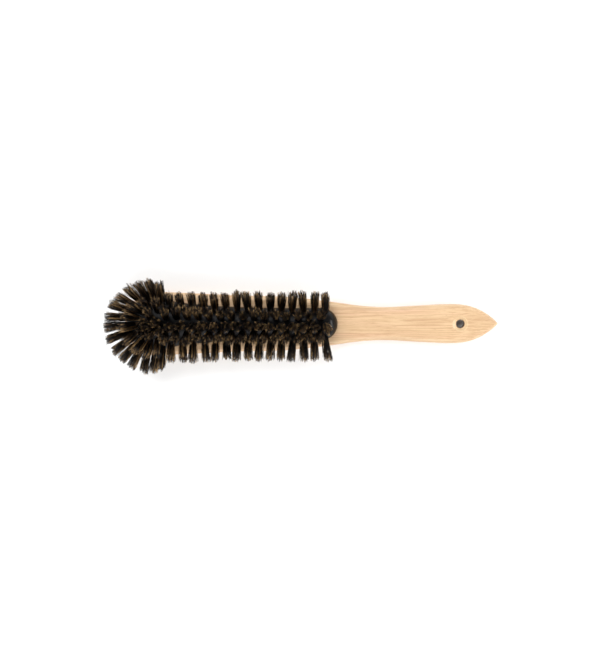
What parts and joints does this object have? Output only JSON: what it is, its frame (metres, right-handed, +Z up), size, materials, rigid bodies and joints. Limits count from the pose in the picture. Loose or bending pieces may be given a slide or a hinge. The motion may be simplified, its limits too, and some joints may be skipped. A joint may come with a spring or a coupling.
{
  "type": "clothes brush",
  "caption": "Handled clothes brush with a beech back, a domed black bristle stock with a round nose, and rows of leaning natural-bristle tufts drawn in on wire.",
  "frame": {"origin": "middle of the bottom face of the bounding box, on the surface that the brush lies on", "axes": "+X along the brush to the handle's tip, +Z up through the bristles, +Y across it"},
  "size_m": [0.3025, 0.0728, 0.0424],
  "materials": {
    "beech": "clear satin lacquer over straight-grained beech",
    "black_lacquer": "deep gloss black lacquer on turned wood",
    "bristle": "natural hog bristle, dark brown to black with golden tips",
    "brass": "plain brass pin"
  },
  "bodies": {
    "root": {"wooden_back": "beech", "bristle_stock": "black_lacquer", "tuft_row_01": "bristle", "tuft_row_02": "bristle", "tuft_row_03": "bristle", "tuft_row_04": "bristle", "tuft_row_05": "bristle", "tuft_row_06": "bristle", "tuft_row_07": "bristle", "tuft_row_08": "bristle", "tuft_row_09": "bristle", "tuft_row_10": "bristle", "tuft_row_11": "bristle", "tuft_row_12": "bristle", "tuft_row_13": "bristle", "tuft_row_14": "bristle", "tuft_row_15": "bristle", "nose_ring_outer": "bristle", "nose_ring_middle": "bristle", "nose_rosette": "bristle", "fixing_pin_1": "brass", "fixing_pin_2": "brass", "fixing_pin_3": "brass", "fixing_pin_4": "brass", "fixing_pin_5": "brass"}
  },
  "joints": []
}
